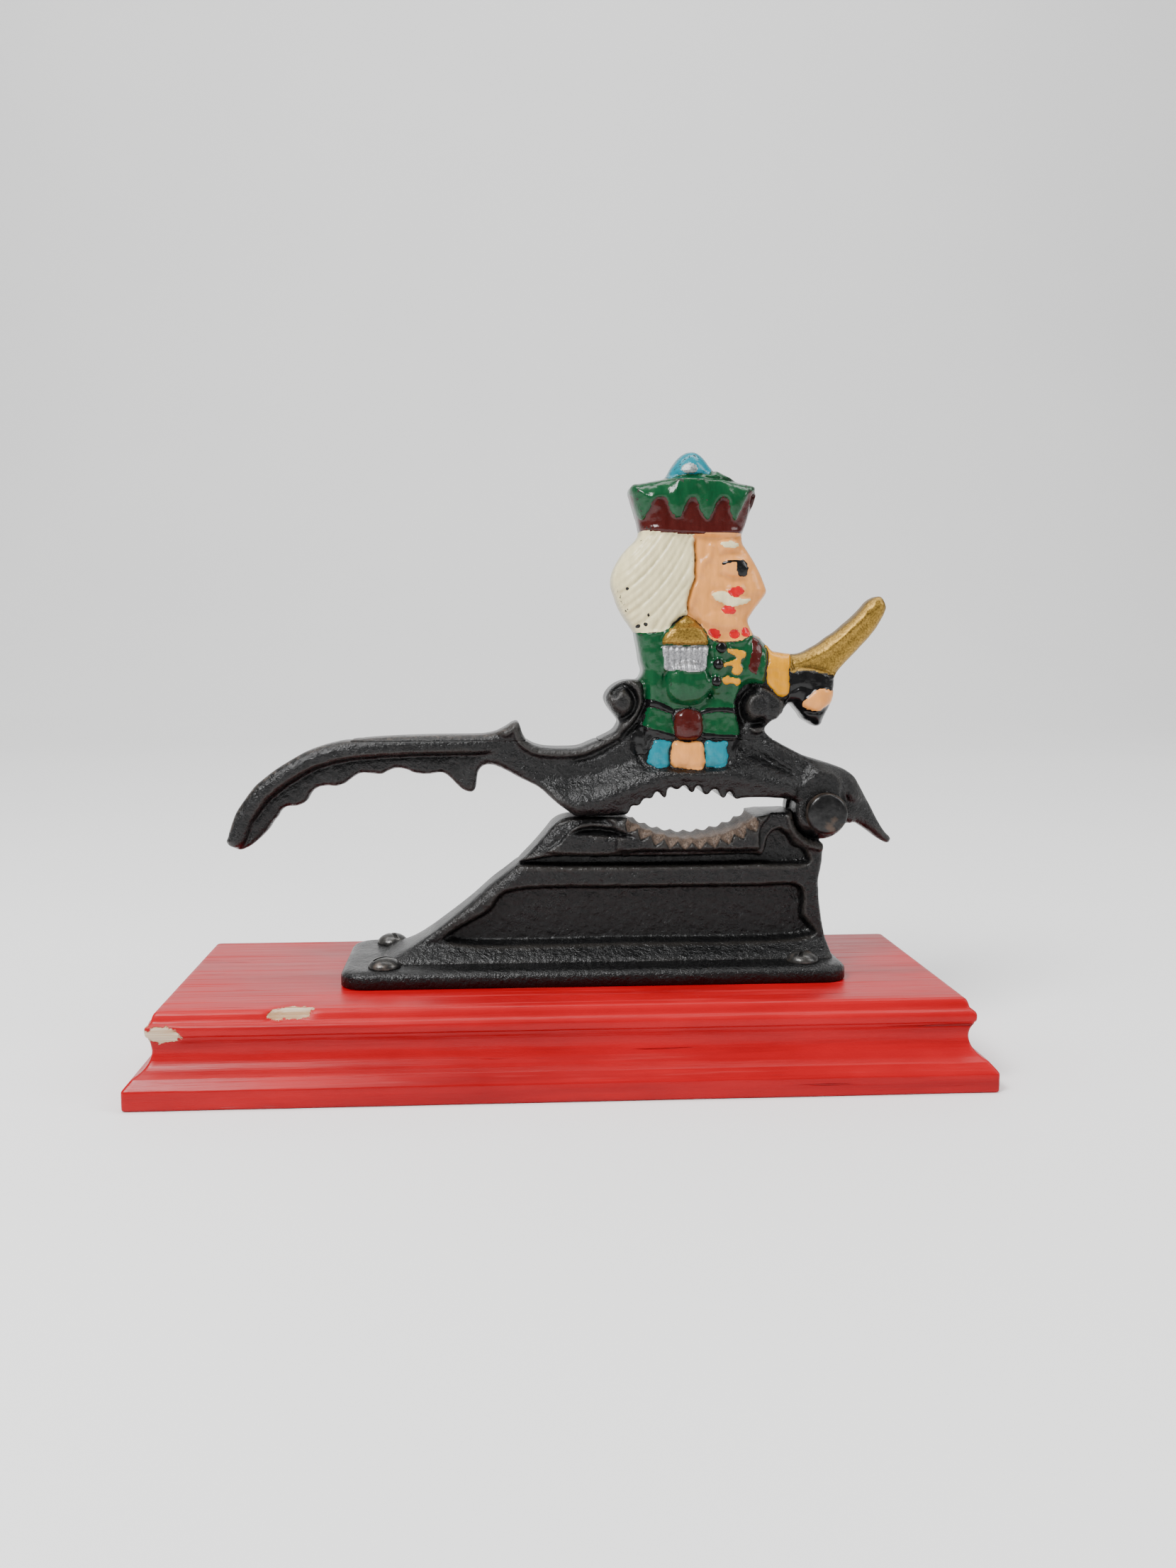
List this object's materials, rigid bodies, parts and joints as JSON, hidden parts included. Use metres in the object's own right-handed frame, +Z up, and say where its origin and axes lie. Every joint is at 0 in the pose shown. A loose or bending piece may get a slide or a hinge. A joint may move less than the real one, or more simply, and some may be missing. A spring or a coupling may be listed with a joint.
{
  "type": "lever nutcracker",
  "caption": "Cast-iron lever nutcracker with toothed jaws and a painted toy-soldier figure on the lever, standing on a moulded wooden plinth.",
  "frame": {"origin": "centre of the plinth's underside", "axes": "+X from the handle's end towards the hinge, +Y across the jaws towards the back, +Z up; the soldier's show side faces -Y"},
  "size_m": [0.19, 0.08, 0.1429],
  "materials": {
    "plinth_wood": "red gloss paint on wood, worn at the edges",
    "black_iron": "black enamelled sand casting, semi-gloss, rust where worn",
    "rivet_steel": "worn, lightly rusted",
    "screw_steel": "dark, dull",
    "green_enamel": "gloss",
    "oxblood_enamel": "gloss",
    "sky_blue_enamel": "gloss",
    "cream_enamel": "gloss",
    "flesh_enamel": "gloss",
    "red_enamel": "gloss",
    "yellow_enamel": "gloss",
    "black_enamel": "gloss",
    "gold_paint": "metallic, grainy",
    "silver_paint": "metallic, grainy"
  },
  "bodies": {
    "base": {"plinth": "plinth_wood", "base_casting": "black_iron", "foot_screws": "screw_steel"},
    "lever": {"lever_casting": "black_iron", "pivot_rivet": "rivet_steel", "rivet_washer": "rivet_steel"}
  },
  "joints": [
    {"name": "lever_pivot", "type": "hinge", "parent": "base", "child": "lever", "pos_m": [0.0625, 0, 0.0585], "axis": [0, 1, 0], "range_deg": [0, 60]}
  ]
}
